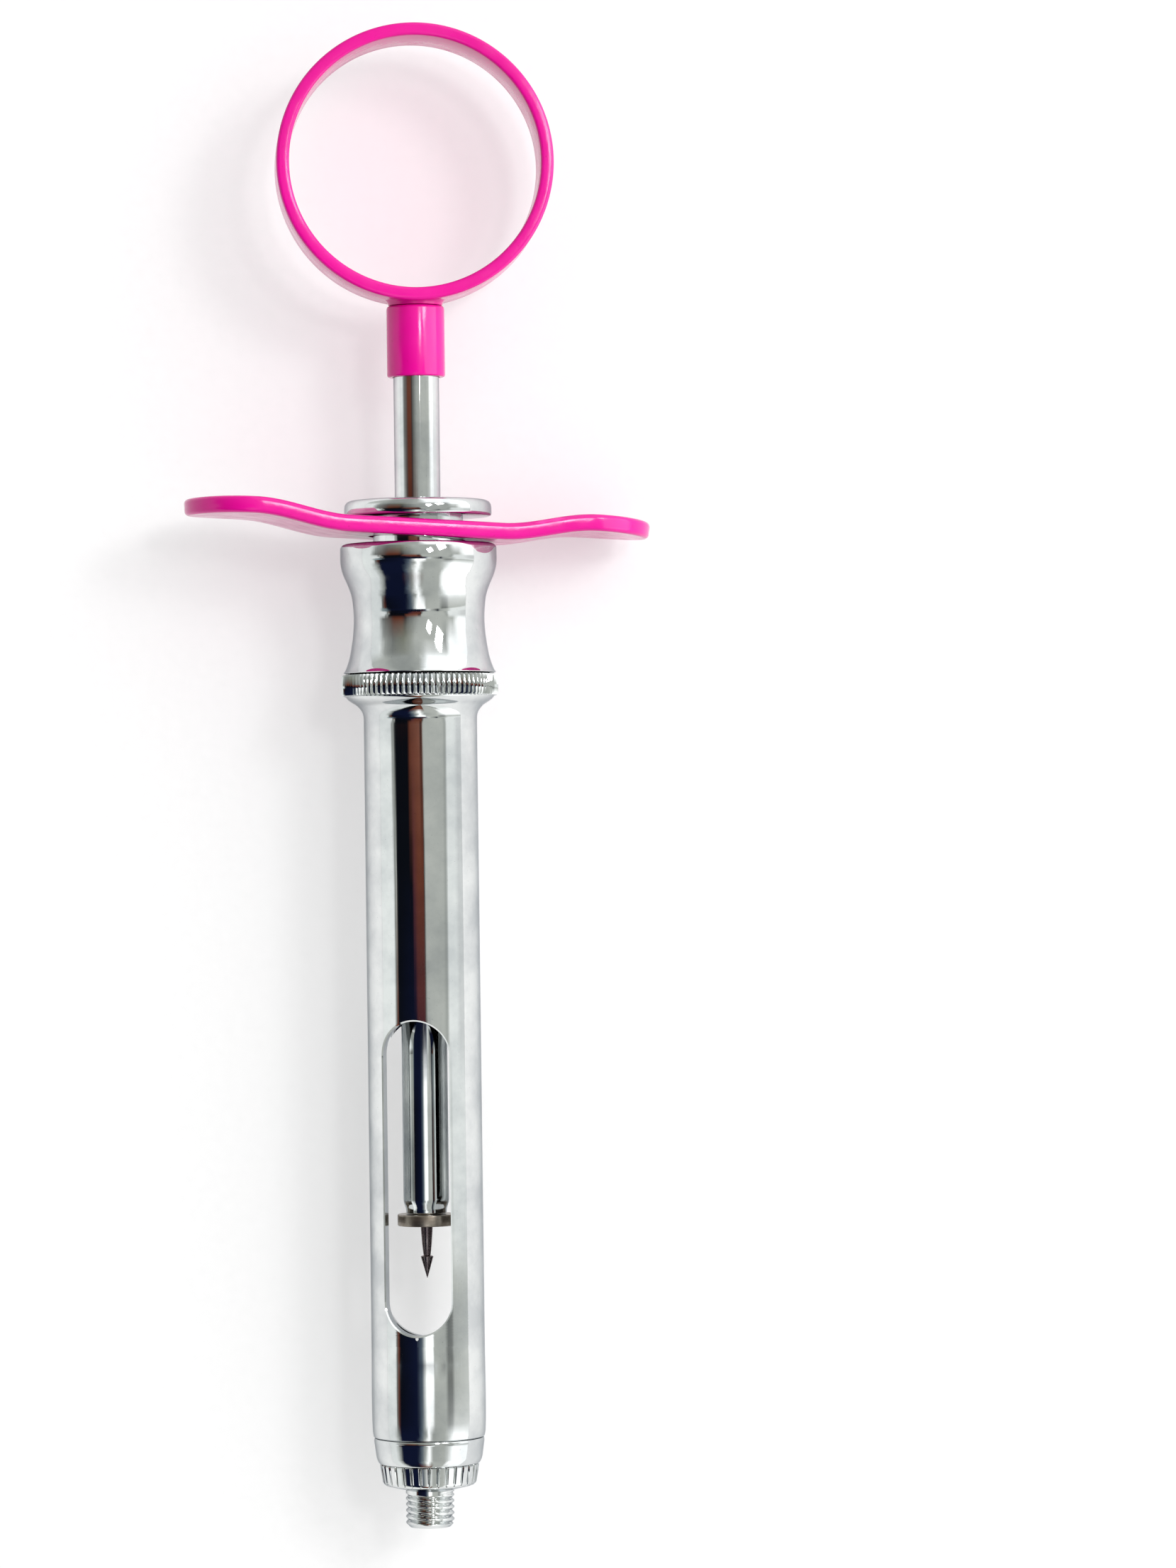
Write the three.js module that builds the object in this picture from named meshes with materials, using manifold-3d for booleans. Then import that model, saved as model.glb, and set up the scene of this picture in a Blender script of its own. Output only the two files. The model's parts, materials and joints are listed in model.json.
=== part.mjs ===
// Aspirating dental cartridge syringe, breech loading, lying on its side.
// Millimetres, +Z up. The long axis runs along +Y from the needle end to the thumb ring.
// The origin is under the middle of the object, on the surface that it lies on.
import * as THREE from 'three';
import * as BufferGeometryUtils from 'three/addons/utils/BufferGeometryUtils.js';
import Module from 'manifold-3d';

const wasm = await Module();
wasm.setup();

// ---- Driving dimensions ------------------------------------------------------------------
// A station is a distance along the axis from the tip of the needle stub.
// Facets per turn for large, middle and small turned pieces.
const coarse = 40;
const medium = 32;
const fine = 24;

const stub = { radius: 2.62, root: 2.3, pitch: 0.65, threads: 5, start: 0.45, chamfer: 0.45 };
const collar = { neck: 3.95, underside: 4.55, shoulder: 4.95, rear: 6.85, slim: 5.1, wide: 5.38 };
const flutes = { count: 34, root: 4.92, crest: 5.6 };
const adaptor = { needleHole: 1.3, spigotRadius: 3.2, spigotEnd: 10.4 };
const nose = { front: 6.9, frontRadius: 5.41, rear: 9.7, rearRadius: 6.05, spigotEnd: 11.4 };
const noseBore = { thread: 3.3, recess: 4.3, recessDepth: 0.9 };
const gasket = { front: 11.6, rear: 12.4, inner: 1.6, outer: 4.5 };

const barrel = { front: 9.75, rear: 92.4, radius: 6.15, swell: 6.27, bore: 4.65 };
const barrelThread = { radius: 5.25, depth: 7.8 };
const window = { front: 21.1, rear: 54.9, width: 7.2, roll: 10.6 };
const backWindow = { front: 20.1, rear: 54.9, width: 8.6 };
const knurl = { front: 89.95, rear: 92.3, root: 8.2, crest: 8.52, teeth: 80 };
const sealGroove = { inner: 6.6, outer: 7.6, depth: 0.9 };

const bolster = { front: 92.45, rear: 106.5, rim: 8.5, rimFront: 104.4, flatRadius: 7.9 };
const spigot = { radius: 5.1, front: 85 };
const bolsterBore = { cap: 5.0, capFloor: 98.6, rod: 2.65, tube: 3.6, tubeFloor: 96.9 };
const stopTube = { front: 74.4, step: 84.8, rear: 96.6, head: 4.5, shank: 3.5, pocket: 3.35 };
const stopTubePocketEnd = 84;
const cushion = { front: 73.2, rear: 74.2, inner: 3.45, outer: 4.4 };

const cap = { front: 109.45, rear: 111.2, radius: 8, edge: 0.7, stem: 4.9, stemFront: 100.6 };
const capBore = { bush: 3.45, bushEnd: 109.8, rod: 2.7 };
const spannerHole = { radius: 0.65, depth: 0.9, pitchRadius: 5.6 };
const bush = { front: 100.8, rear: 109.6, inner: 2.54, outer: 3.4 };
const glandWasher = { front: 100, rear: 100.45, inner: 2.6, outer: 4.8 };

const plate = { station: 108, thickness: 1.8, hole: 5.3, halfSpan: 25.6, halfDepth: 7.9 };
const plateWing = { flat: 8.2, crest: 18.6, rise: 1.45, tipRise: 1.13 };
const plateRest = { tilt: 3.2, roll: 9, sideways: -0.065 };

const rod = { front: 33.95, rear: 128.9, radius: 2.48, neck: 2.2, neckLength: 1.25 };
const disc = { front: 32.6, rear: 33.85, radius: 3.15, spigot: 1.6, spigotEnd: 37.5, hole: 0.72 };
const harpoon = { tip: 26.9, barb: 29.25, barbRadius: 0.7, shaft: 0.65, waist: 0.52, end: 37.2 };

const socket = { front: 124.6, rear: 132.3, radius: 3.15, bore: 2.54, web: 130.9, stemHole: 1.2 };
const swivelWasher = { front: 130.4, rear: 130.8, inner: 1.2, outer: 2.2 };
const ring = { centre: 147.65, inner: 13.6, outer: 15, width: 8.56, edge: 0.4, roll: 3.45 };
const ringStem = { neck: 2.95, front: 132.35, rear: 133.3, stem: 1.1, headFront: 129.3, head: 1.8 };
const ringStemHeadRear = 130.25;

// O-rings: centre-line radius, thickness radius and station.
const adaptorSeal = { radius: 3.75, section: 0.33, station: 7.3 };
const barrelSeal = { radius: 7.1, section: 0.42, station: 91.94 };
const rodSeal = { radius: 3.1, section: 0.55, station: 99.3 };

const length = ring.centre + ring.outer;

// ---- Materials ---------------------------------------------------------------------------
const metal = (color, roughness) => new THREE.MeshStandardMaterial({ color, roughness, metalness: 1 });
const coating = (color, roughness) => new THREE.MeshStandardMaterial({ color, roughness, metalness: 0 });

const chrome = () => metal(0xd9dbdc, 0.08);
const steel = () => metal(0x8d8a85, 0.3);
const brass = () => metal(0xb08d57, 0.25);
const enamel = () => coating(0xec1a9b, 0.18);
const silicone = () => coating(0xc9c4bb, 0.6);
const fluoropolymer = () => coating(0xe9e6de, 0.45);

// ---- Helpers -----------------------------------------------------------------------------
const radians = THREE.MathUtils.degToRad;

// Merges shared corners and drops the collapsed triangles that a lathe leaves on its axis.
function welded(geometry) {
  const bare = geometry.clone();
  bare.deleteAttribute('normal');
  bare.deleteAttribute('uv');
  const merged = BufferGeometryUtils.mergeVertices(bare, 1e-4);
  const corners = merged.index.array;
  const kept = [];
  for (let i = 0; i < corners.length; i += 3) {
    const [a, b, c] = corners.slice(i, i + 3);
    if (a !== b && b !== c && c !== a) kept.push(a, b, c);
  }
  merged.setIndex(kept);
  return merged;
}

function solidOf(geometry) {
  const merged = welded(geometry);
  const mesh = new wasm.Mesh({
    numProp: 3,
    vertProperties: new Float32Array(merged.attributes.position.array),
    triVerts: new Uint32Array(merged.index.array),
  });
  return new wasm.Manifold(mesh);
}

function geometryOf(solid) {
  const mesh = solid.getMesh();
  const geometry = new THREE.BufferGeometry();
  geometry.setAttribute('position', new THREE.BufferAttribute(mesh.vertProperties, 3));
  geometry.setIndex(new THREE.BufferAttribute(mesh.triVerts, 1));
  geometry.computeVertexNormals();
  return geometry;
}

// A solid of revolution about the long axis. The outline holds [radius, station] pairs and runs
// up its outer side and back down its bore. It closes on itself unless it starts on the axis.
function turned(outline, facets) {
  const points = outline.map(([radius, station]) => new THREE.Vector2(radius, station));
  if (outline[0][0] > 0) points.push(points[0].clone());
  return new THREE.LatheGeometry(points, facets);
}

// A plain washer or tube.
function tube({ front, rear, inner, outer }, facets) {
  return turned([[inner, front], [outer, front], [outer, rear], [inner, rear]], facets);
}

// An O-ring of eight-sided section.
function oRing({ radius, section, station }) {
  const outline = [];
  for (let i = 0; i < 8; i += 1) {
    const turn = radians(-90 + 45 * i);
    outline.push([radius + section * Math.cos(turn), station + section * Math.sin(turn)]);
  }
  return turned(outline, fine);
}

// Stations and radii of a rounded corner: a quarter turn about a centre.
function corner(centreRadius, centreStation, size, startDegrees, steps) {
  const points = [];
  for (let i = 0; i <= steps; i += 1) {
    const turn = radians(startDegrees + (90 * i) / steps);
    points.push([centreRadius + size * Math.cos(turn), centreStation + size * Math.sin(turn)]);
  }
  return points;
}

// A toothed outline in plan. A tooth is a list of [share of the tooth's turn, radius] pairs.
function toothedShape(teeth, tooth) {
  const points = [];
  const step = (2 * Math.PI) / teeth;
  for (let i = 0; i < teeth; i += 1) {
    for (const [share, radius] of tooth) {
      const turn = (i + share) * step;
      points.push(new THREE.Vector2(radius * Math.cos(turn), radius * Math.sin(turn)));
    }
  }
  return new THREE.Shape(points);
}

// Extrudes a shape along the long axis between two stations.
function alongAxis(shape, front, rear) {
  const geometry = new THREE.ExtrudeGeometry(shape, { depth: rear - front, bevelEnabled: false });
  geometry.rotateX(-Math.PI / 2);
  geometry.translate(0, front, 0);
  return geometry;
}

// ---- Needle end --------------------------------------------------------------------------
// Threaded stub for the needle hub, fluted collar to turn it by, and a spigot into the nose.
function needleAdaptor() {
  const ridges = [];
  for (let i = 0; i < stub.threads; i += 1) {
    const station = stub.start + i * stub.pitch;
    ridges.push([stub.radius, station], [stub.root, station + stub.pitch / 2]);
  }
  const threadEnd = stub.start + stub.threads * stub.pitch;
  const body = turned([
    [adaptor.needleHole, 0],
    [stub.radius - stub.chamfer, 0],
    ...ridges,
    [stub.radius, threadEnd],
    [stub.radius, collar.neck],
    [collar.slim - 0.4, collar.underside],
    [collar.slim, collar.shoulder],
    [collar.wide, collar.rear],
    [adaptor.spigotRadius, collar.rear],
    [adaptor.spigotRadius, adaptor.spigotEnd],
    [adaptor.needleHole, adaptor.spigotEnd],
  ], medium);
  const { root, crest } = flutes;
  const shape = toothedShape(flutes.count, [[0, root], [0.3, crest], [0.6, crest], [0.9, root]]);
  return geometryOf(solidOf(body).intersect(solidOf(alongAxis(shape, -1, length))));
}

// Tapered end of the barrel, pushed into it from the front and tapped for the adaptor.
function barrelNose() {
  return turned([
    [noseBore.recess, nose.front],
    [nose.frontRadius, nose.front],
    [nose.frontRadius + 0.2, nose.front + 0.2],
    [nose.frontRadius + 0.32, nose.front + 0.5],
    [nose.rearRadius - 0.08, nose.rear - 0.5],
    [nose.rearRadius, nose.rear],
    [barrel.bore - 0.06, nose.rear],
    [barrel.bore - 0.06, nose.spigotEnd],
    [noseBore.thread, nose.spigotEnd],
    [noseBore.thread, nose.front + noseBore.recessDepth],
    [noseBore.recess, nose.front + noseBore.recessDepth],
  ], coarse);
}

// ---- Barrel ------------------------------------------------------------------------------
// A milled window: a slot with round ends, cut from the axis outwards.
function windowCutter({ front, rear, width }, outwards) {
  const half = width / 2;
  const shape = new THREE.Shape();
  shape.absarc(0, front + half, half, Math.PI, 0, false);
  shape.absarc(0, rear - half, half, 0, Math.PI, false);
  const reach = barrel.radius + 1;
  const options = { depth: reach, bevelEnabled: false, curveSegments: 12 };
  const cutter = new THREE.ExtrudeGeometry(shape, options);
  if (!outwards) cutter.translate(0, 0, -reach);
  return solidOf(cutter);
}

// Thin tube with a window on each side, a knurled flange and an internal thread at the rear.
function barrelBody() {
  const floor = barrel.rear - sealGroove.depth;
  const body = turned([
    [barrel.bore, barrel.front],
    [nose.rearRadius - 0.06, barrel.front],
    [nose.rearRadius + 0.03, barrel.front + 0.12],
    [barrel.radius, barrel.front + 1],
    [barrel.swell, 13.7],
    [barrel.radius, 19],
    [barrel.radius, 87.2],
    [6.22, 88.1],
    [6.42, 88.7],
    [6.8, 89.1],
    [7.35, 89.3],
    [7.8, 89.6],
    [knurl.root, knurl.front + 0.05],
    [knurl.root, barrel.rear - 0.15],
    [knurl.root - 0.15, barrel.rear],
    [sealGroove.outer, barrel.rear],
    [sealGroove.outer, floor],
    [sealGroove.inner, floor],
    [sealGroove.inner, barrel.rear],
    [barrelThread.radius, barrel.rear],
    [barrelThread.radius, barrel.rear - barrelThread.depth],
    [barrel.bore, barrel.rear - barrelThread.depth],
  ], coarse);
  const knurlShape = toothedShape(knurl.teeth, [[0, knurl.root - 0.02], [0.5, knurl.crest]]);
  const knurlHole = new THREE.Path();
  knurlHole.absarc(0, 0, knurl.root - 0.3, 0, 2 * Math.PI, true);
  knurlShape.holes.push(knurlHole);
  return geometryOf(
    solidOf(body)
      .add(solidOf(alongAxis(knurlShape, knurl.front, knurl.rear)))
      .subtract(windowCutter(window, true)),
  );
}

// The back window faces straight down while the front one is rolled, so it is cut separately.
function withBackWindow(geometry) {
  const cutter = windowCutter(backWindow, false);
  return geometryOf(solidOf(geometry).subtract(cutter.rotate([0, window.roll, 0])));
}

// ---- Bolster and what it holds -----------------------------------------------------------
// Waisted grip. Its hollow spigot screws into the barrel and its rear takes the lock cap.
function bolsterBody() {
  const flank = new THREE.SplineCurve([
    [8.33, bolster.front + 0.15],
    [7.85, 93.4],
    [7.48, 94.8],
    [7.2, 96.6],
    [7.08, 98.5],
    [7.23, 100.3],
    [7.73, 102.15],
    [8.19, 103.2],
    [bolster.rim, bolster.rimFront],
  ].map(([radius, station]) => new THREE.Vector2(radius, station)));
  return turned([
    [bolsterBore.tube, spigot.front],
    [spigot.radius - 0.3, spigot.front],
    [spigot.radius, spigot.front + 0.3],
    [spigot.radius, bolster.front],
    [8.25, bolster.front],
    ...flank.getPoints(12).map(({ x, y }) => [x, y]),
    [bolster.rim, bolster.rear - 0.45],
    [bolster.flatRadius, bolster.rear],
    [bolsterBore.cap, bolster.rear],
    [bolsterBore.cap, bolsterBore.capFloor],
    [bolsterBore.rod, bolsterBore.capFloor],
    [bolsterBore.rod, bolsterBore.tubeFloor],
    [bolsterBore.tube, bolsterBore.tubeFloor],
  ], coarse);
}

// Bears on the rear of the cartridge, and its step stops the piston disc when the plunger is out.
function cartridgeStopTube() {
  return turned([
    [stopTube.pocket, stopTube.front],
    [stopTube.head, stopTube.front],
    [stopTube.head, stopTube.step],
    [stopTube.shank, stopTube.step],
    [stopTube.shank, stopTube.rear],
    [bolsterBore.rod, stopTube.rear],
    [bolsterBore.rod, stopTubePocketEnd],
    [stopTube.pocket, stopTubePocketEnd],
  ], medium);
}

// Disc-headed screw that keeps the finger plate on and presses the gland together.
function lockCap() {
  const body = turned([
    [capBore.bush, cap.stemFront],
    [cap.stem, cap.stemFront],
    [cap.stem, cap.front],
    [cap.radius - 0.2, cap.front],
    [cap.radius, cap.front + 0.2],
    ...corner(cap.radius - cap.edge, cap.rear - cap.edge, cap.edge, 0, 4),
    [capBore.rod + 0.2, cap.rear],
    [capBore.rod, cap.rear - 0.2],
    [capBore.rod, capBore.bushEnd],
    [capBore.bush, capBore.bushEnd],
  ], coarse);
  let head = solidOf(body);
  for (const side of [-1, 1]) {
    const hole = new THREE.CylinderGeometry(spannerHole.radius, spannerHole.radius, 2, 12);
    hole.translate(side * spannerHole.pitchRadius, cap.rear + 1 - spannerHole.depth, 0);
    head = head.subtract(solidOf(hole));
  }
  return geometryOf(head);
}

// ---- Finger plate ------------------------------------------------------------------------
// Height of the plate's middle surface: flat at the centre, up to a crest, down to the tip.
function wingHeight(x) {
  const reach = Math.abs(x);
  const { flat, crest, rise, tipRise } = plateWing;
  if (reach < flat) return 0;
  if (reach < crest) return (rise * (1 - Math.cos((Math.PI * (reach - flat)) / (crest - flat)))) / 2;
  const share = (reach - crest) / (plate.halfSpan - crest);
  return rise - (rise - tipRise) * share * share;
}

// A curved strip cut to a rounded plan, with a round hole for the lock cap's stem.
function fingerPlate() {
  const steps = 40;
  const upper = [];
  const lower = [];
  for (let i = 0; i <= steps; i += 1) {
    const x = plate.halfSpan * ((2 * i) / steps - 1);
    const slope = Math.atan((wingHeight(x + 0.01) - wingHeight(x - 0.01)) / 0.02);
    const across = new THREE.Vector2(-Math.sin(slope), Math.cos(slope));
    const middle = new THREE.Vector2(x, wingHeight(x));
    upper.push(middle.clone().addScaledVector(across, plate.thickness / 2));
    lower.push(middle.clone().addScaledVector(across, -plate.thickness / 2));
  }
  const strip = new THREE.ExtrudeGeometry(new THREE.Shape([...lower, ...upper.reverse()]), {
    depth: 2 * plate.halfDepth,
    bevelEnabled: false,
  });
  strip.translate(0, 0, -plate.halfDepth);

  const plan = new THREE.Shape();
  const tip = plate.halfDepth - 0.6;
  const straight = plate.halfSpan - tip;
  plan.moveTo(-straight, -plate.halfDepth);
  plan.lineTo(straight, -plate.halfDepth);
  plan.absellipse(straight, 0, tip, plate.halfDepth, -Math.PI / 2, Math.PI / 2, false);
  plan.absellipse(-straight, 0, tip, plate.halfDepth, Math.PI / 2, 1.5 * Math.PI, false);
  const hole = new THREE.Path();
  hole.absarc(0, 0, plate.hole, 0, 2 * Math.PI, true);
  plan.holes.push(hole);
  return geometryOf(solidOf(strip).intersect(solidOf(alongAxis(plan, -10, 10))));
}

// ---- Plunger -----------------------------------------------------------------------------
// Round rod, necked at the front, tapped for the piston disc's spigot.
function plungerRod() {
  const holeEnd = disc.spigotEnd + 0.4;
  return turned([
    [0, holeEnd],
    [disc.spigot + 0.06, holeEnd],
    [disc.spigot + 0.06, rod.front],
    [rod.neck, rod.front],
    [rod.neck, rod.front + 0.3],
    [rod.radius - 0.06, rod.front + rod.neckLength - 0.35],
    [rod.radius, rod.front + rod.neckLength],
    [rod.radius, rod.rear - 0.4],
    [rod.radius - 0.4, rod.rear],
    [0, rod.rear],
  ], medium);
}

// Flat disc that pushes the stopper, with a spigot into the rod and a tapped hole.
function pistonDisc() {
  return turned([
    [disc.hole, disc.front],
    [disc.radius - 0.12, disc.front],
    [disc.radius, disc.front + 0.12],
    [disc.radius, disc.rear - 0.12],
    [disc.radius - 0.12, disc.rear],
    [disc.spigot, disc.rear],
    [disc.spigot, disc.spigotEnd],
    [disc.hole, disc.spigotEnd],
  ], medium);
}

// Barbed point that grips the stopper, on a shaft whose tail screws into the disc.
function harpoonPoint() {
  return turned([
    [0, harpoon.tip],
    [harpoon.barbRadius, harpoon.barb],
    [harpoon.waist, harpoon.barb + 0.15],
    [harpoon.shaft, disc.front - 0.3],
    [harpoon.shaft, harpoon.end],
    [0, harpoon.end],
  ], 16);
}

// Sleeve screwed on the rod. Its web keeps the thumb ring, which can turn in it.
function ringSocket() {
  const edge = 0.35;
  return turned([
    [socket.bore, socket.front],
    [socket.radius - edge, socket.front],
    [socket.radius, socket.front + edge],
    [socket.radius, socket.rear - edge],
    [socket.radius - edge, socket.rear],
    [socket.stemHole, socket.rear],
    [socket.stemHole, socket.web],
    [socket.bore, socket.web],
  ], medium);
}

// Flat band bent round, with a neck and a stem whose end is peened over under a washer.
function thumbRing() {
  const half = ring.width / 2 - ring.edge;
  const section = [
    ...corner(ring.inner + ring.edge, -half, ring.edge, 180, 2),
    ...corner(ring.outer - ring.edge, -half, ring.edge, 270, 2),
    ...corner(ring.outer - ring.edge, half, ring.edge, 0, 2),
    ...corner(ring.inner + ring.edge, half, ring.edge, 90, 2),
  ];
  const band = turned(section, 48);
  band.rotateX(Math.PI / 2);
  band.translate(0, ring.centre, 0);
  const stem = turned([
    [0, ringStem.headFront],
    [ringStem.head, ringStem.headFront],
    [ringStem.head, ringStemHeadRear],
    [ringStem.stem, ringStemHeadRear],
    [ringStem.stem, ringStem.front],
    [ringStem.neck, ringStem.front],
    [ringStem.neck, ringStem.rear],
    [0, ringStem.rear],
  ], fine);
  return geometryOf(solidOf(band).add(solidOf(stem)));
}

// ---- Assembly ----------------------------------------------------------------------------
function named(name, geometry, material) {
  const mesh = new THREE.Mesh(geometry, material);
  mesh.name = name;
  return mesh;
}

const assembly = new THREE.Group();

assembly.add(
  named('needle_adaptor', needleAdaptor(), chrome()),
  named('adaptor_o_ring', oRing(adaptorSeal), silicone()),
  named('barrel_nose', barrelNose(), chrome()),
  named('nose_gasket', tube(gasket, fine), silicone()),
  named('barrel_o_ring', oRing(barrelSeal), silicone()),
  named('bolster', bolsterBody(), chrome()),
  named('cartridge_stop_tube', cartridgeStopTube(), brass()),
  named('cartridge_cushion', tube(cushion, fine), silicone()),
  named('rod_o_ring', oRing(rodSeal), silicone()),
  named('gland_washer', tube(glandWasher, fine), steel()),
  named('rod_guide_bush', tube(bush, medium), fluoropolymer()),
  named('lock_cap', lockCap(), chrome()),
  named('plunger_rod', plungerRod(), chrome()),
  named('piston_disc', pistonDisc(), steel()),
  named('harpoon', harpoonPoint(), steel()),
  named('ring_socket', ringSocket(), enamel()),
  named('swivel_washer', tube(swivelWasher, fine), steel()),
);

const barrelMesh = named('barrel', withBackWindow(barrelBody()), chrome());
barrelMesh.rotation.y = radians(-window.roll);
assembly.add(barrelMesh);

const ringMesh = named('thumb_ring', thumbRing(), enamel());
ringMesh.rotation.y = radians(ring.roll);
assembly.add(ringMesh);

// The plate lies loosely between bolster and cap: turned about the axis, then tipped.
const plateMesh = named('finger_plate', fingerPlate(), enamel());
plateMesh.rotation.y = radians(plateRest.roll);
const plateTip = new THREE.Group();
plateTip.position.set(plateRest.sideways, plate.station, 0);
plateTip.rotation.z = radians(-plateRest.tilt);
plateTip.add(plateMesh);
assembly.add(plateTip);

// The lower wing of the plate is the lowest point, so it sets the height of the axis.
assembly.updateMatrixWorld(true);
const axisHeight = -new THREE.Box3().setFromObject(plateMesh, true).min.z;
assembly.position.set(0, -length / 2, axisHeight);

const syringe = new THREE.Group();
syringe.add(assembly);

export default syringe;
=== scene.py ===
import json
import math

import bmesh
import bpy
from mathutils import Matrix, Vector

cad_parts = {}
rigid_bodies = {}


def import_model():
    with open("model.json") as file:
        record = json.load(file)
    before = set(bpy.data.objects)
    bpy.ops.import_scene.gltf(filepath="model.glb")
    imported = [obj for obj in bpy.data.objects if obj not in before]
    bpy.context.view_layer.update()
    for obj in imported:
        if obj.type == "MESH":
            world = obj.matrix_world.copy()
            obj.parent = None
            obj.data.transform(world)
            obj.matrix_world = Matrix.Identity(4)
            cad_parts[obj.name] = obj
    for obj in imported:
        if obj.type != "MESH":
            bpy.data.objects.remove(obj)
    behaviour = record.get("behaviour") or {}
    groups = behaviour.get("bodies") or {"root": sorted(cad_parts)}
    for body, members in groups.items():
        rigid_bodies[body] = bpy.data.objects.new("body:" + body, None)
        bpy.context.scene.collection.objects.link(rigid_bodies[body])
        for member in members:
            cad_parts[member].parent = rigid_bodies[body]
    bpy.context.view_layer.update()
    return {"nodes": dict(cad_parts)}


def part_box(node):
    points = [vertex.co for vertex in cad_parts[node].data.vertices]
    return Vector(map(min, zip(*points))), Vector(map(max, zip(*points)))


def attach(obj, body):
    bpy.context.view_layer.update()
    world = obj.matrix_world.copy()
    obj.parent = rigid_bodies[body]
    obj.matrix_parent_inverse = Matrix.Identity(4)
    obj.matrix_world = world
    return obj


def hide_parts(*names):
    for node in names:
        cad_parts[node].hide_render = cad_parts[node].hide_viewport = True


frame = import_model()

# ---- Frame -------------------------------------------------------------------------------
# Shapes are written in millimetres: a station along the long axis from the tip of the needle
# stub, and offsets from that axis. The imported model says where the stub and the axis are.
MM = 0.001
STUB_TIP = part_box("needle_adaptor")[0].y
BOLSTER_LOW, BOLSTER_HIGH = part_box("bolster")
AXIS_X = (BOLSTER_LOW.x + BOLSTER_HIGH.x) / 2
AXIS_Z = (BOLSTER_LOW.z + BOLSTER_HIGH.z) / 2


def place(x, station, z):
    """Metres in the row frame from millimetres across, along and above the long axis."""
    return Vector((AXIS_X + x * MM, STUB_TIP + station * MM, AXIS_Z + z * MM))


# ---- Dimensions, in millimetres ----------------------------------------------------------
TURNED_FACETS = 144
SMALL_FACETS = 96
STEPS_PER_FILLET = 4

STUB = {"radius": 2.62, "root": 2.34, "pitch": 0.65, "end": 3.6, "chamfer": 0.42}
COLLAR = {"neck": 3.95, "underside": 4.5, "shoulder": 5.0, "rear": 6.85, "slim": 5.1, "wide": 5.38}
FLUTES = {"count": 34, "root": 4.9, "columns": 10}
STUB_ROWS = 64
COLLAR_STEPS = 5
SHOULDER_ROUND = 0.35
THREAD_FLAT = 1.25
THREAD_RUN_OUT = 0.25
NEEDLE_HOLE = 1.3
ADAPTOR_SPIGOT = {"radius": 3.2, "end": 10.4}
NOSE = {"front": 6.9, "front_radius": 5.41, "rear": 9.7, "rear_radius": 6.05, "end": 11.4}
NOSE_BORE = {"thread": 3.3, "recess": 4.3, "floor": 7.8}

BARREL = {"front": 9.75, "rear": 92.4, "radius": 6.15, "swell": 6.19, "bore": 4.65}
BARREL_THREAD = {"radius": 5.25, "front": 84.6}
WINDOW = {"front": 21.1, "rear": 54.9, "width": 7.2}
BACK_WINDOW = {"front": 20.1, "rear": 54.9, "width": 8.6}
WINDOW_EDGE = 0.16
WINDOW_END_STEPS = 18
WINDOW_ROLL = math.radians(10.6)
KNURL = {"front": 89.95, "rear": 92.38, "root": 8.08, "crest": 8.5, "teeth": 80, "inner": 7.7}
SEAL_GROOVE = {"inner": 6.6, "outer": 7.6, "floor": 91.5}

BOLSTER = {"front": 92.45, "rear": 106.5, "rim": 8.5}
BOLSTER_SPIGOT = {"radius": 5.1, "front": 85}
BOLSTER_BORE = {"cap": 5.0, "cap_floor": 98.6, "rod": 2.65, "tube": 3.6, "tube_floor": 96.9}

CAP = {"front": 109.45, "rear": 111.2, "radius": 8.0, "stem": 4.9, "stem_front": 100.6}
CAP_BORE = {"bush": 3.45, "bush_end": 109.8, "rod": 2.7}
SPANNER_HOLE = {"radius": 0.65, "depth": 0.9, "offset": 5.6}

PLATE = {"station": 108.0, "thickness": 1.8, "hole": 5.3, "half_span": 25.43, "half_depth": 7.9}
PLATE_TIP = 7.3
PLATE_EDGE = 0.5
PLATE_STEPS = {"tip": 16, "straight": 72, "across": 12, "edge": 6}
WING = {"flat": 8.2, "crest": 18.6, "rise": 1.45, "tip_rise": 1.13}
PLATE_TILT = math.radians(3.2)
PLATE_ROLL = math.radians(9)
PLATE_SIDEWAYS = -0.065

ROD = {"front": 33.95, "rear": 128.9, "radius": 2.48, "neck": 2.2, "neck_length": 1.25}
DISC = {"front": 32.6, "rear": 33.85, "radius": 3.15, "spigot": 1.6, "end": 37.5, "hole": 0.72}
HARPOON = {"tip": 26.9, "barb": 29.25, "barb_radius": 0.7, "shaft": 0.65, "waist": 0.52, "end": 37.2}

SOCKET = {"front": 124.6, "rear": 132.3, "radius": 3.15, "bore": 2.54, "web": 130.9, "hole": 1.2}
RING = {"centre": 147.65, "inner": 13.6, "outer": 15.0, "width": 8.56, "edge": 0.4}
RING_ROLL = math.radians(3.45)
RING_STEM = {"neck": 2.95, "front": 132.35, "rear": 133.3, "stem": 1.1, "head": 1.8}
RING_HEAD = {"front": 129.3, "rear": 130.25}


# ---- Shape helpers -----------------------------------------------------------------------
def filleted(outline):
    """Rounds the corners of a closed outline. A corner is (radius, station) or has a fillet size."""
    points = []
    for i, (radius, station, *size) in enumerate(outline):
        here = Vector((radius, station))
        if not size:
            points.append(here)
            continue
        before = Vector(outline[i - 1][:2]) - here
        after = Vector(outline[(i + 1) % len(outline)][:2]) - here
        reach = min(size[0], 0.48 * before.length, 0.48 * after.length)
        start = before.normalized() * reach
        end = after.normalized() * reach
        for step in range(STEPS_PER_FILLET + 1):
            t = step / STEPS_PER_FILLET
            points.append(here + start * (1 - t) ** 2 + end * t ** 2)
    return [tuple(point) for point in points]


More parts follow.
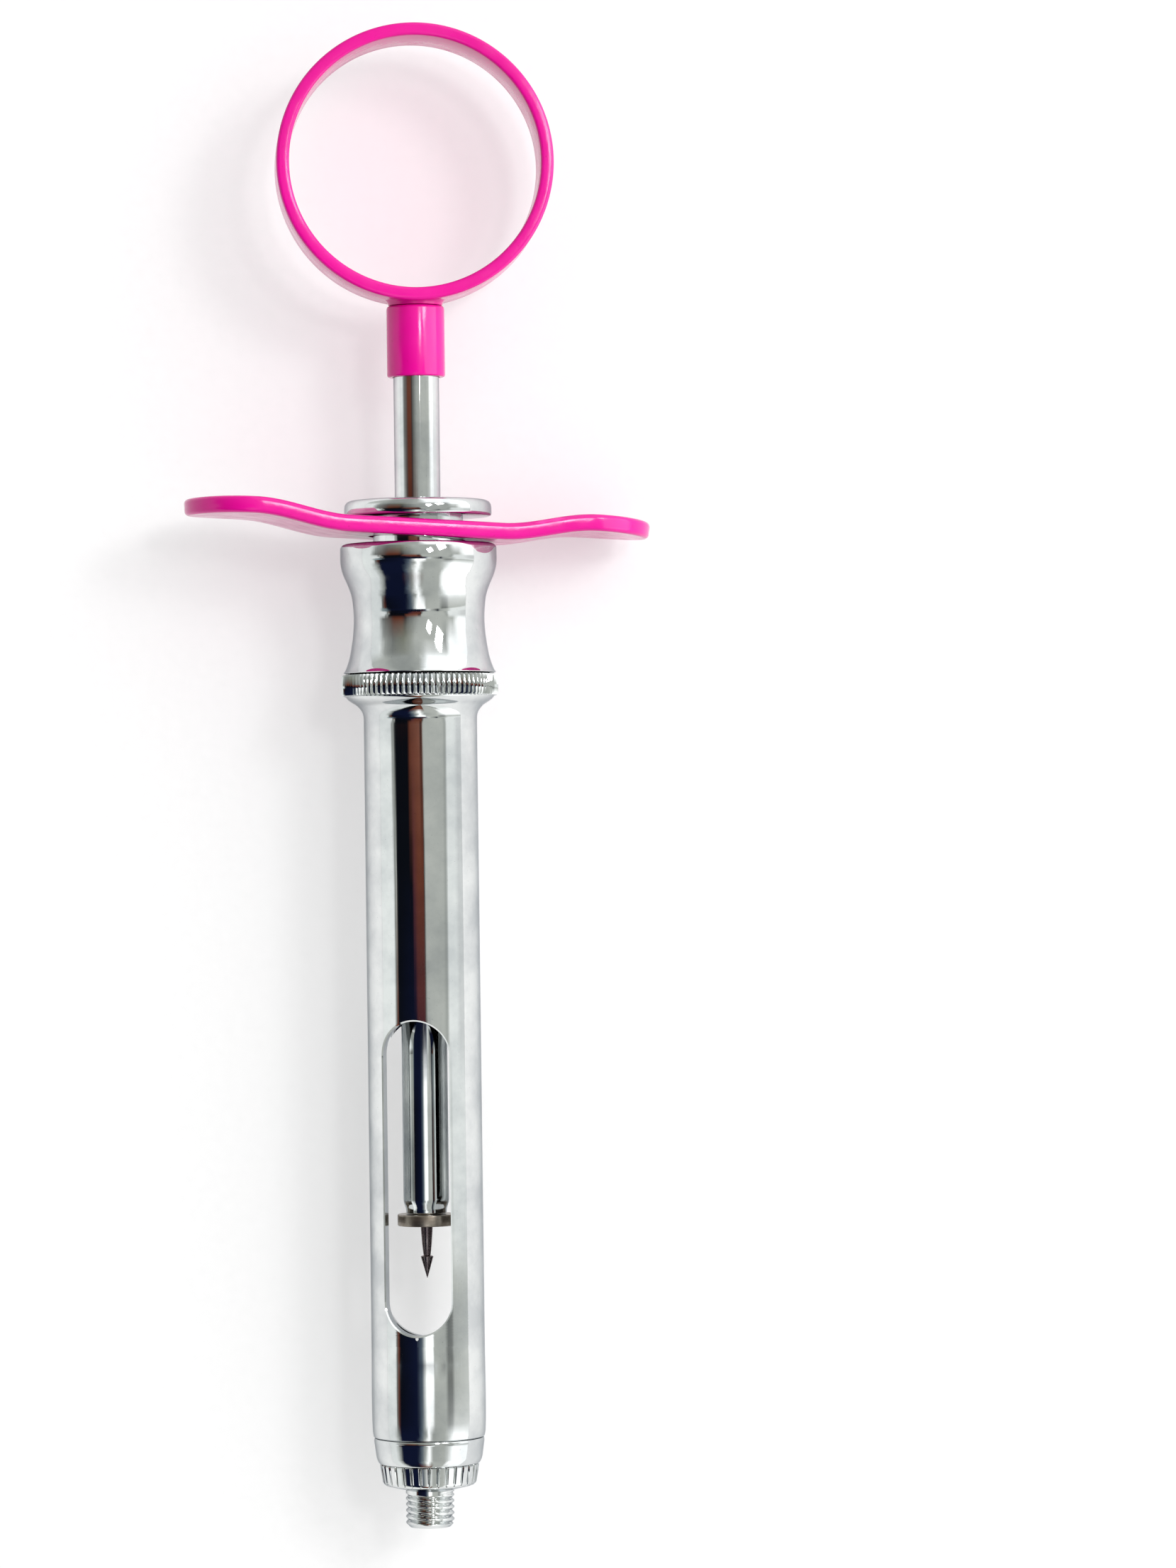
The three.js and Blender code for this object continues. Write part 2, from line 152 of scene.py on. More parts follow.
def spline(points, steps):
    """A smooth line through (radius, station) points, with several steps between neighbours."""
    padded = [points[0], *points, points[-1]]
    line = []
    for i in range(1, len(padded) - 2):
        p0, p1, p2, p3 = (Vector(p) for p in padded[i - 1:i + 3])
        for step in range(steps):
            t = step / steps
            line.append(0.5 * (
                2 * p1 + (p2 - p0) * t + (2 * p0 - 5 * p1 + 4 * p2 - p3) * t ** 2
                + (3 * p1 - p0 - 3 * p2 + p3) * t ** 3
            ))
    line.append(Vector(points[-1]))
    return [tuple(point) for point in line]


def lathe(shape, outline, facets, radius_at=None, open_end=False):
    """Turns an outline of (radius, station) about the long axis and adds it to the bmesh.

    radius_at(radius, station, turn) may change the radius from place to place. An outline whose
    two ends lie on the axis is open_end.
    """
    loops = []
    for radius, station in outline:
        loop = []
        for j in range(facets):
            turn = 2 * math.pi * j / facets
            r = radius_at(radius, station, turn) if radius_at else radius
            loop.append(shape.verts.new((r * math.sin(turn), station, r * math.cos(turn))))
        loops.append(loop)
    pairs = list(zip(loops, loops[1:]))
    if not open_end:
        pairs.append((loops[-1], loops[0]))
    for near, far in pairs:
        for j in range(facets):
            k = (j + 1) % facets
            shape.faces.new((near[j], near[k], far[k], far[j]))


def piece(shape, name, node, body, material, sharp=32):
    """Makes an object of the bmesh, which is in millimetres about the axis, to stand for a node."""
    bmesh.ops.remove_doubles(shape, verts=shape.verts, dist=1e-4)
    bmesh.ops.dissolve_degenerate(shape, edges=shape.edges, dist=1e-5)
    bmesh.ops.recalc_face_normals(shape, faces=shape.faces)
    for vertex in shape.verts:
        vertex.co = place(*vertex.co)
    for face in shape.faces:
        face.smooth = True
    mesh = bpy.data.meshes.new(name)
    shape.to_mesh(mesh)
    shape.free()
    mesh.set_sharp_from_angle(angle=math.radians(sharp))
    made = bpy.data.objects.new(name, mesh)
    bpy.context.scene.collection.objects.link(made)
    made.data.materials.append(material)
    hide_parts(node)
    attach(made, body)
    return made


def moved(shape, matrix):
    bmesh.ops.transform(shape, matrix=matrix, verts=shape.verts)


def cut(shape, cutter):
    """The bmesh less the cutter, through an exact boolean."""
    objects = []
    for source, label in ((shape, "cut_body"), (cutter, "cut_tool")):
        bmesh.ops.recalc_face_normals(source, faces=source.faces)
        mesh = bpy.data.meshes.new(label)
        source.to_mesh(mesh)
        source.free()
        made = bpy.data.objects.new(label, mesh)
        bpy.context.scene.collection.objects.link(made)
        objects.append(made)
    body, tool = objects
    modifier = body.modifiers.new("cut", "BOOLEAN")
    modifier.operation = "DIFFERENCE"
    modifier.solver = "EXACT"
    modifier.object = tool
    graph = bpy.context.evaluated_depsgraph_get()
    result = bmesh.new()
    result.from_mesh(body.evaluated_get(graph).to_mesh())
    for made in objects:
        mesh = made.data
        bpy.data.objects.remove(made)
        bpy.data.meshes.remove(mesh)
    return result


# ---- Material helpers --------------------------------------------------------------------
class Nodes:
    """A short way to build one material's node tree."""

    def __init__(self, name):
        self.material = bpy.data.materials.new(name)
        self.material.use_nodes = True
        self.tree = self.material.node_tree
        self.shader = self.tree.nodes["Principled BSDF"]
        self.where = self.tree.nodes.new("ShaderNodeTexCoord").outputs["Object"]

    def node(self, kind, **settings):
        made = self.tree.nodes.new(kind)
        for key, value in settings.items():
            setattr(made, key, value)
        return made

    def link(self, source, target):
        self.tree.links.new(source, target)

    def scaled(self, scale):
        """The object's own coordinates stretched by a scale for each direction."""
        mapping = self.node("ShaderNodeMapping")
        mapping.inputs["Location"].default_value = (-AXIS_X * scale[0], 0, -AXIS_Z * scale[2])
        mapping.inputs["Scale"].default_value = scale
        self.link(self.where, mapping.inputs["Vector"])
        return mapping.outputs["Vector"]

    def noise(self, scale, detail=2.0, roughness=0.5, where=None):
        made = self.node("ShaderNodeTexNoise")
        made.inputs["Scale"].default_value = scale
        made.inputs["Detail"].default_value = detail
        made.inputs["Roughness"].default_value = roughness
        self.link(where or self.where, made.inputs["Vector"])
        return made.outputs["Fac"]

    def ramp(self, value, stops, interpolation="LINEAR"):
        made = self.node("ShaderNodeValToRGB")
        made.color_ramp.interpolation = interpolation
        elements = made.color_ramp.elements
        while len(elements) < len(stops):
            elements.new(1.0)
        for element, (position, colour) in zip(elements, stops):
            element.position = position
            element.color = (*colour, 1.0) if isinstance(colour, tuple) else (colour,) * 3 + (1.0,)
        self.link(value, made.inputs["Fac"])
        return made.outputs["Color"]

    def remap(self, value, low, high, to_low, to_high):
        made = self.node("ShaderNodeMapRange")
        for key, number in zip(("From Min", "From Max", "To Min", "To Max"), (low, high, to_low, to_high)):
            made.inputs[key].default_value = number
        self.link(value, made.inputs["Value"])
        return made.outputs["Result"]

    def math(self, operation, a, b):
        made = self.node("ShaderNodeMath", operation=operation)
        for socket, value in zip(made.inputs, (a, b)):
            if isinstance(value, (int, float)):
                socket.default_value = value
            else:
                self.link(value, socket)
        return made.outputs["Value"]

    def mix(self, factor, a, b, blend="MIX"):
        made = self.node("ShaderNodeMix", data_type="RGBA", blend_type=blend)
        for socket, value in ((made.inputs["Factor"], factor), (made.inputs["A"], a), (made.inputs["B"], b)):
            if isinstance(value, tuple):
                socket.default_value = (*value, 1.0)
            elif isinstance(value, (int, float)):
                socket.default_value = value
            else:
                self.link(value, socket)
        return made.outputs["Result"]

    def bump(self, height, distance, strength=1.0, under=None):
        made = self.node("ShaderNodeBump")
        made.inputs["Distance"].default_value = distance
        made.inputs["Strength"].default_value = strength
        self.link(height, made.inputs["Height"])
        if under:
            self.link(under, made.inputs["Normal"])
        return made.outputs["Normal"]

    def set(self, **values):
        for key, value in values.items():
            socket = self.shader.inputs[key.replace("_", " ")]
            if isinstance(value, bpy.types.NodeSocket):
                self.link(value, socket)
            elif isinstance(value, tuple):
                socket.default_value = (*value, 1.0)
            else:
                socket.default_value = value
        return self.material


def srgb(red, green, blue):
    """Linear colour from screen levels of 0 to 255."""
    def linear(level):
        share = level / 255
        return share / 12.92 if share <= 0.04045 else ((share + 0.055) / 1.055) ** 2.4
    return tuple(linear(level) for level in (red, green, blue))


# ---- Materials ---------------------------------------------------------------------------
def chrome_material():
    """Polished plating: clouded smears, hairlines along the length, worn pits and soft waves."""
    n = Nodes("polished_chrome")
    smear = n.noise(160, 4, 0.6)
    hairlines = n.noise(1, 3, 0.55, n.scaled((9000, 260, 9000)))
    pits = n.noise(5200, 1, 0.5)
    tint = n.mix(n.remap(smear, 0.36, 0.64, 0, 1), srgb(232, 234, 233), srgb(206, 209, 210))
    worn = n.remap(pits, 0.72, 0.8, 0, 0.35)
    colour = n.mix(worn, tint, srgb(150, 150, 152))
    gloss = n.math("ADD", n.remap(smear, 0.35, 0.7, 0.02, 0.055), n.remap(hairlines, 0.45, 0.75, 0, 0.025))
    waves = n.bump(n.noise(210, 1, 0.4), 0.000005)
    normal = n.bump(hairlines, 0.0000012, 0.6, waves)
    return n.set(Base_Color=colour, Metallic=1.0, Roughness=gloss, Normal=normal,
                 Specular_Tint=(0.5, 0.52, 0.54))


def enamel_material():
    """Glossy pink enamel with orange peel, faint mottling, dust pits and rubbed edges."""
    n = Nodes("pink_gloss_enamel")
    cloud = n.noise(110, 3, 0.55)
    mottled = n.mix(n.remap(cloud, 0.3, 0.7, 0, 1), srgb(209, 5, 136), srgb(199, 4, 127))
    specks = n.remap(n.noise(2600, 1, 0.4), 0.74, 0.8, 0, 0.5)
    colour = n.mix(specks, mottled, srgb(168, 8, 96))
    edges = n.node("ShaderNodeNewGeometry").outputs["Pointiness"]
    rubbed = n.math("MULTIPLY", n.remap(edges, 0.53, 0.62, 0, 0.35), n.remap(cloud, 0.45, 0.6, 0.2, 1))
    colour = n.mix(rubbed, colour, srgb(240, 80, 176))
    gloss = n.remap(n.noise(420, 4, 0.6), 0.3, 0.75, 0.1, 0.22)
    peel = n.bump(n.noise(1500, 2, 0.5), 0.000008)
    return n.set(Base_Color=colour, Roughness=gloss, Normal=peel, Specular_IOR_Level=0.4)


def steel_material(name, bright, dark, gloss):
    """Turned steel or brass: fine rings from the tool, and stains."""
    n = Nodes(name)
    rings = n.node("ShaderNodeTexWave", wave_type="BANDS", bands_direction="Y")
    rings.inputs["Scale"].default_value = 900
    rings.inputs["Distortion"].default_value = 0.6
    n.link(n.where, rings.inputs["Vector"])
    stain = n.noise(480, 5, 0.65)
    colour = n.mix(n.remap(stain, 0.35, 0.65, 0, 1), bright, dark)
    rough = n.math("ADD", n.remap(stain, 0.3, 0.7, gloss, gloss + 0.14),
                   n.remap(rings.outputs["Fac"], 0, 1, 0, 0.05))
    normal = n.bump(rings.outputs["Fac"], 0.000003, 0.5)
    return n.set(Base_Color=colour, Metallic=1.0, Roughness=rough, Normal=normal)


def rubber_material():
    """Off-white silicone: matt, cloudy and finely grained."""
    n = Nodes("silicone_rubber")
    cloud = n.noise(900, 3, 0.5)
    colour = n.mix(n.remap(cloud, 0.35, 0.65, 0, 1), srgb(214, 209, 200), srgb(190, 184, 174))
    rough = n.remap(cloud, 0.3, 0.7, 0.5, 0.68)
    normal = n.bump(n.noise(4200, 2, 0.5), 0.00001)
    return n.set(Base_Color=colour, Roughness=rough, Normal=normal, Subsurface_Weight=0.1,
                 Subsurface_Scale=0.001)


def bush_material():
    """Turned fluoropolymer: waxy white with faint tool rings."""
    n = Nodes("turned_fluoropolymer")
    rings = n.node("ShaderNodeTexWave", wave_type="BANDS", bands_direction="Y")
    rings.inputs["Scale"].default_value = 700
    rings.inputs["Distortion"].default_value = 1.0
    n.link(n.where, rings.inputs["Vector"])
    cloud = n.noise(700, 3, 0.5)
    colour = n.mix(n.remap(cloud, 0.35, 0.65, 0, 1), srgb(238, 235, 226), srgb(222, 217, 205))
    rough = n.remap(rings.outputs["Fac"], 0, 1, 0.36, 0.5)
    normal = n.bump(rings.outputs["Fac"], 0.000005, 0.5)
    return n.set(Base_Color=colour, Roughness=rough, Normal=normal)


CHROME = chrome_material()
ENAMEL = enamel_material()
STEEL = steel_material("turned_steel", srgb(172, 163, 152), srgb(132, 120, 108), 0.24)
DARK_STEEL = steel_material("harpoon_steel", srgb(156, 146, 146), srgb(98, 84, 90), 0.16)
BRASS = steel_material("turned_brass", srgb(196, 156, 96), srgb(160, 120, 66), 0.18)
SILICONE = rubber_material()
FLUOROPOLYMER = bush_material()


# ---- Needle end --------------------------------------------------------------------------
def thread_radius(radius, station, turn):
    """A single-start helical ridge on the stub that runs out at its rear."""
    if radius < STUB["root"] - 0.3 or station > STUB["end"] + 0.3:
        return radius
    phase = (station / STUB["pitch"] + turn / (2 * math.pi)) % 1
    ridge = 1 - abs(2 * phase - 1)
    depth = STUB["radius"] - STUB["root"]
    cut_radius = STUB["root"] + depth * min(1, THREAD_FLAT * ridge)
    run_out = min(1, max(0, (station - STUB["end"]) / THREAD_RUN_OUT))
    return min(radius, cut_radius + depth * run_out)


def flute_radius(radius, station, turn):
    """Rounded valleys round the collar."""
    if not COLLAR["underside"] - 0.3 < station < COLLAR["rear"] + 0.1:
        return radius
    phase = (FLUTES["count"] * turn / (2 * math.pi)) % 1
    crest = min(1, 1.9 * math.sin(math.pi * phase) ** 0.9)
    return min(radius, FLUTES["root"] + (COLLAR["wide"] - FLUTES["root"]) * crest)


def needle_adaptor():
    shape = bmesh.new()
    stub_stations = [COLLAR["neck"] * i / STUB_ROWS for i in range(STUB_ROWS + 1)]
    stub_rows = [
        (STUB["radius"] - max(0, STUB["chamfer"] - station), station) for station in stub_stations
    ]
    lathe(shape, [
        (NEEDLE_HOLE + 0.12, 0),
        *stub_rows,
        (STUB["radius"], COLLAR["underside"] + 0.5),
        (NEEDLE_HOLE, COLLAR["underside"] + 0.5),
        (NEEDLE_HOLE, 0.12),
    ], SMALL_FACETS, thread_radius)
    inner = COLLAR["slim"] - SHOULDER_ROUND
    cone = [
        (STUB["radius"] - 0.1 + (inner - STUB["radius"]) * i / COLLAR_STEPS,
         COLLAR["neck"] + 0.02 + (COLLAR["underside"] - COLLAR["neck"]) * i / COLLAR_STEPS)
        for i in range(COLLAR_STEPS + 1)
    ]
    shoulder = [
        (inner + SHOULDER_ROUND * math.sin(math.pi / 2 * i / COLLAR_STEPS),
         COLLAR["underside"] + (COLLAR["shoulder"] - COLLAR["underside"]) * i / COLLAR_STEPS)
        for i in range(1, COLLAR_STEPS + 1)
    ]
    lathe(shape, [
        (NEEDLE_HOLE, COLLAR["neck"] + 0.02),
        *cone,
        *shoulder,
        (COLLAR["wide"], COLLAR["rear"] - 0.12),
        (COLLAR["wide"] - 0.1, COLLAR["rear"]),
        (ADAPTOR_SPIGOT["radius"], COLLAR["rear"]),
        (ADAPTOR_SPIGOT["radius"], ADAPTOR_SPIGOT["end"] - 0.2),
        (ADAPTOR_SPIGOT["radius"] - 0.2, ADAPTOR_SPIGOT["end"]),
        (NEEDLE_HOLE, ADAPTOR_SPIGOT["end"]),
    ], FLUTES["count"] * FLUTES["columns"], flute_radius)
    piece(shape, "needle_adaptor_shape", "needle_adaptor", "adaptor", CHROME, 40)


def barrel_nose():
    shape = bmesh.new()
    lathe(shape, filleted([
        (NOSE_BORE["recess"], NOSE["front"], 0.08),
        (NOSE["front_radius"] + 0.06, NOSE["front"], 0.16),
        (NOSE["front_radius"] + 0.32, NOSE["front"] + 0.55, 0.3),
        (NOSE["rear_radius"] - 0.06, NOSE["rear"] - 0.35, 0.2),
        (NOSE["rear_radius"] - 0.12, NOSE["rear"], 0.1),
        (BARREL["bore"] - 0.06, NOSE["rear"]),
        (BARREL["bore"] - 0.06, NOSE["end"], 0.15),
        (NOSE_BORE["thread"], NOSE["end"], 0.1),
        (NOSE_BORE["thread"], NOSE_BORE["floor"], 0.1),
        (NOSE_BORE["recess"], NOSE_BORE["floor"], 0.1),
    ]), TURNED_FACETS)
    piece(shape, "barrel_nose_shape", "barrel_nose", "barrel", CHROME)


# ---- Barrel ------------------------------------------------------------------------------
def slot_half_width(window, station, edge):
    """Half the width of a round-ended slot at a station, with the slot enlarged by edge."""
    half = window["width"] / 2
    beyond = max(window["front"] + half - station, station - (window["rear"] - half), 0)
    return math.sqrt(max(0, (half + edge) ** 2 - beyond ** 2))


def slot_stations(edge):
    """Stations closely spaced where the ends of the windows are round."""
    rises = [
        1 - math.cos(math.pi / 2 * i / WINDOW_END_STEPS) for i in range(WINDOW_END_STEPS + 1)
    ]
    fronts = [
        window["front"] - edge + (window["width"] / 2 + edge) * rise
        for window in (WINDOW, BACK_WINDOW) for rise in rises
    ]
    reach = BACK_WINDOW["width"] / 2 + edge
    rears = [WINDOW["rear"] + edge - reach * rise for rise in rises]
    return sorted(fronts) + sorted(rears)


def barrel():
    """The tube is one skin whose columns part round each window, joined by the window's walls."""
    edge = WINDOW_EDGE
    outside = [
        (NOSE["rear_radius"] - 0.12, BARREL["front"], None),
        (NOSE["rear_radius"] - 0.02, BARREL["front"] + 0.1, None),
        (BARREL["radius"] - 0.03, 10.35, None),
        (BARREL["radius"] + 0.02, 11.6, None),
        (BARREL["swell"] - 0.01, 12.8, None),
        (BARREL["swell"], 14.2, None),
        (BARREL["swell"] - 0.01, 15.6, None),
        (BARREL["radius"] + 0.01, 18, None),
        (BARREL["radius"], 19, None),
        *[(BARREL["radius"], station, edge) for station in slot_stations(edge)],
    ]
    flange = spline([(BARREL["radius"], 86.8), (6.16, 87.6), (6.22, 88.05), (6.41, 88.46), (6.78, 88.9),
                     (7.12, 89.15), (7.46, 89.36), (7.78, 89.6), (7.98, 89.82), (8.03, 89.95)], 3)
    inside = [
        (KNURL["root"] - 0.1, KNURL["front"] + 0.1, None),
        (KNURL["root"] - 0.1, BARREL["rear"] - 0.1, None),
        (KNURL["root"] - 0.25, BARREL["rear"], None),
        (SEAL_GROOVE["outer"], BARREL["rear"], None),
        (SEAL_GROOVE["outer"], SEAL_GROOVE["floor"], None),
        (SEAL_GROOVE["inner"], SEAL_GROOVE["floor"], None),
        (SEAL_GROOVE["inner"], BARREL["rear"], None),
        (BARREL_THREAD["radius"], BARREL["rear"], None),
        (BARREL_THREAD["radius"], BARREL_THREAD["front"], None),
        (BARREL["bore"], BARREL_THREAD["front"], None),
        *[(BARREL["bore"], station, 0.0) for station in reversed(slot_stations(0.0))],
        (BARREL["bore"], BARREL["front"], None),
    ]
    outline = outside + [(radius, station, None) for radius, station in flange] + inside

    half_columns = TURNED_FACETS // 2
    shape = bmesh.new()

    def half_loop(radius, station, slot_edge, side):
        """From the front window's edge to the back window's, round one side."""
        start = end = 0.0
        if slot_edge is not None:
            start = math.asin(slot_half_width(WINDOW, station, slot_edge) / radius)
            end = math.asin(slot_half_width(BACK_WINDOW, station, slot_edge) / radius)
        back = math.pi + side * WINDOW_ROLL
        loop = []
        for j in range(half_columns + 1):
            turn = start + (back - end - start) * j / half_columns
            loop.append(shape.verts.new((
                radius * math.sin(side * turn - WINDOW_ROLL), station,
                radius * math.cos(side * turn - WINDOW_ROLL),
            )))
        return loop

    for side in (1, -1):
        loops = [half_loop(*point, side) for point in outline]
        for near, far in zip(loops, loops[1:] + loops[:1]):
            for j in range(half_columns):
                shape.faces.new((near[j], near[j + 1], far[j + 1], far[j]))
        outer_rows = [loop for loop, point in zip(loops, outline) if point[2] == edge]
        bore_rows = [loop for loop, point in zip(loops, outline) if point[2] == 0.0][::-1]
        lip = BARREL["radius"] - edge
        lip_rows = [half_loop(lip, station, 0.0, side) for station in slot_stations(0.0)]
        for column in (0, half_columns):
            for rows_a, rows_b in ((outer_rows, lip_rows), (lip_rows, bore_rows)):
                for k in range(len(rows_a) - 1):
                    corners = (rows_a[k][column], rows_a[k + 1][column],
                               rows_b[k + 1][column], rows_b[k][column])
                    shape.faces.new(corners)
    bmesh.ops.remove_doubles(shape, verts=shape.verts, dist=1e-4)
    loose = [vertex for vertex in shape.verts if not vertex.link_faces]
    bmesh.ops.delete(shape, geom=loose, context="VERTS")

    def tooth_radius(radius, station, turn):
        if radius < KNURL["root"] - 0.2:
            return radius
        phase = (KNURL["teeth"] * turn / (2 * math.pi)) % 1
        return radius - (KNURL["crest"] - KNURL["root"]) * abs(2 * phase - 1) ** 1.2

    lathe(shape, [
        (KNURL["inner"], KNURL["front"]),
        (KNURL["root"] + 0.02, KNURL["front"]),
        (KNURL["crest"] - 0.1, KNURL["front"] + 0.12),
        (KNURL["crest"], KNURL["front"] + 0.3),
        (KNURL["crest"], KNURL["rear"] - 0.25),
        (KNURL["crest"] - 0.12, KNURL["rear"] - 0.08),
        (KNURL["root"] - 0.05, KNURL["rear"]),
        (KNURL["inner"], KNURL["rear"]),
    ], KNURL["teeth"] * 8, tooth_radius)
    piece(shape, "barrel_shape", "barrel", "barrel", CHROME, 34)


# ---- Bolster, lock cap and finger plate --------------------------------------------------
def bolster():
    flank = spline([(8.27, BOLSTER["front"] + 0.1), (8.03, 92.95), (7.7, 93.85), (7.47, 94.85), (7.2, 96.6),
                    (7.09, 98.5), (7.22, 100.3), (7.4, 101.2), (7.75, 102.15), (8.2, 103.2), (8.44, 104.1),
                    (BOLSTER["rim"], 104.8)], 4)
    shape = bmesh.new()
    lathe(shape, [
        *filleted([
            (BOLSTER_BORE["tube"], BOLSTER_SPIGOT["front"]),
            (BOLSTER_SPIGOT["radius"], BOLSTER_SPIGOT["front"], 0.3),
            (BOLSTER_SPIGOT["radius"], BOLSTER["front"]),
        ]),
        (8.12, BOLSTER["front"]),
        (8.24, BOLSTER["front"] + 0.03),
        *flank,
        (BOLSTER["rim"], BOLSTER["rear"] - 0.5),
        (BOLSTER["rim"] - 0.06, BOLSTER["rear"] - 0.3),
        (BOLSTER["rim"] - 0.2, BOLSTER["rear"] - 0.12),
        (BOLSTER["rim"] - 0.42, BOLSTER["rear"] - 0.02),
        (BOLSTER["rim"] - 0.6, BOLSTER["rear"]),
        (BOLSTER_BORE["cap"], BOLSTER["rear"]),
        (BOLSTER_BORE["cap"], BOLSTER_BORE["cap_floor"]),
        (BOLSTER_BORE["rod"], BOLSTER_BORE["cap_floor"]),
        (BOLSTER_BORE["rod"], BOLSTER_BORE["tube_floor"]),
        (BOLSTER_BORE["tube"], BOLSTER_BORE["tube_floor"]),
    ], TURNED_FACETS)
    piece(shape, "bolster_shape", "bolster", "grip", CHROME)


def lock_cap():
    body = bmesh.new()
    lathe(body, filleted([
        (CAP_BORE["bush"], CAP["stem_front"], 0.15),
        (CAP["stem"], CAP["stem_front"], 0.25),
        (CAP["stem"], CAP["front"]),
        (CAP["radius"], CAP["front"], 0.3),
        (CAP["radius"], CAP["rear"], 1.05),
        (CAP_BORE["rod"] + 0.02, CAP["rear"], 0.25),
        (CAP_BORE["rod"], CAP_BORE["bush_end"]),
        (CAP_BORE["bush"], CAP_BORE["bush_end"]),
    ]), TURNED_FACETS)
    for side in (-1, 1):
        drill = bmesh.new()
        lathe(drill, [
            (0, CAP["rear"] - SPANNER_HOLE["depth"]),
            (SPANNER_HOLE["radius"], CAP["rear"] - SPANNER_HOLE["depth"]),
            (SPANNER_HOLE["radius"], CAP["rear"] - 0.1),
            (SPANNER_HOLE["radius"] + 0.2, CAP["rear"] + 0.1),
            (0, CAP["rear"] + 0.1),
        ], 32, open_end=True)
        bmesh.ops.remove_doubles(drill, verts=drill.verts, dist=1e-4)
        moved(drill, Matrix.Translation((side * SPANNER_HOLE["offset"], 0, 0)))
        bmesh.ops.remove_doubles(body, verts=body.verts, dist=1e-4)
        body = cut(body, drill)
    piece(body, "lock_cap_shape", "lock_cap", "grip", CHROME)


def wing_height(x):
    """Height of the plate's middle surface: flat at the centre, up to a crest, down to the tip."""
    reach = abs(x)
    if reach < WING["flat"]:
        return 0
    if reach < WING["crest"]:
        climb = (reach - WING["flat"]) / (WING["crest"] - WING["flat"])
        return WING["rise"] * (1 - math.cos(math.pi * climb)) / 2
    share = (reach - WING["crest"]) / (PLATE["half_span"] - WING["crest"])
    return WING["rise"] - (WING["rise"] - WING["tip_rise"]) * share * share


def finger_plate():
    """A strip of even thickness with rounded edges and round tips, bent into two shallow wings."""
    straight = PLATE["half_span"] - PLATE_TIP
    tip_steps = PLATE_STEPS["tip"]
    straight_steps = PLATE_STEPS["straight"]
    rows = [(-1, i / tip_steps) for i in range(tip_steps, 0, -1)]
    rows += [(0, 2 * i / straight_steps - 1) for i in range(straight_steps + 1)]
    rows += [(1, i / tip_steps) for i in range(1, tip_steps + 1)]

    def plan(row, inset):
        """x and half depth of a row, for the outline moved inwards by an inset."""
        end, share = row
        if end == 0:
            return share * straight, PLATE["half_depth"] - inset
        turn = share * math.pi / 2
        return (end * (straight + (PLATE_TIP - inset) * math.sin(turn)),
                (PLATE["half_depth"] - inset) * math.cos(turn))

    def bent(x, across, height):
        slope = math.atan((wing_height(x + 0.01) - wing_height(x - 0.01)) / 0.02)
        return (x - height * math.sin(slope), wing_height(x) + height * math.cos(slope), across)

    half = PLATE["thickness"] / 2
    shape = bmesh.new()

    def skin(columns):
        """Joins neighbouring columns, each of which holds one point for every row."""
        lines = [[shape.verts.new(point) for point in column] for column in columns]
        for near, far in zip(lines, lines[1:]):
            for i in range(len(rows) - 1):
                corners = (near[i], near[i + 1], far[i + 1], far[i])
                shape.faces.new(corners)

    lanes = PLATE_STEPS["across"]
    for height in (half, -half):
        columns = []
        for lane in range(lanes + 1):
            share = 2 * lane / lanes - 1
            columns.append([
                bent(x, share * depth, height) for x, depth in (plan(row, PLATE_EDGE) for row in rows)
            ])
        skin(columns)
    arc = [math.pi / 2 * i / PLATE_STEPS["edge"] for i in range(PLATE_STEPS["edge"] + 1)]
    rim = [(PLATE_EDGE * (1 - math.sin(t)), half - PLATE_EDGE * (1 - math.cos(t))) for t in arc]
    rim += [(inset, -height) for inset, height in reversed(rim)]
    for side in (1, -1):
        skin([
            [bent(x, side * depth, height) for x, depth in (plan(row, inset) for row in rows)]
            for inset, height in rim
        ])
    bmesh.ops.remove_doubles(shape, verts=shape.verts, dist=1e-4)
    bmesh.ops.dissolve_degenerate(shape, edges=shape.edges, dist=1e-5)
    hole = bmesh.new()
    lathe(hole, [(0, -5), (PLATE["hole"], -5), (PLATE["hole"], 5), (0, 5)], SMALL_FACETS, open_end=True)
    bmesh.ops.remove_doubles(hole, verts=hole.verts, dist=1e-4)
    shape = cut(shape, hole)
    moved(shape, Matrix.Rotation(PLATE_ROLL, 4, "Y"))
    moved(shape, Matrix.Rotation(-PLATE_TILT, 4, "Z"))
    moved(shape, Matrix.Translation((PLATE_SIDEWAYS, PLATE["station"], 0)))
    piece(shape, "finger_plate_shape", "finger_plate", "finger_plate", ENAMEL, 40)


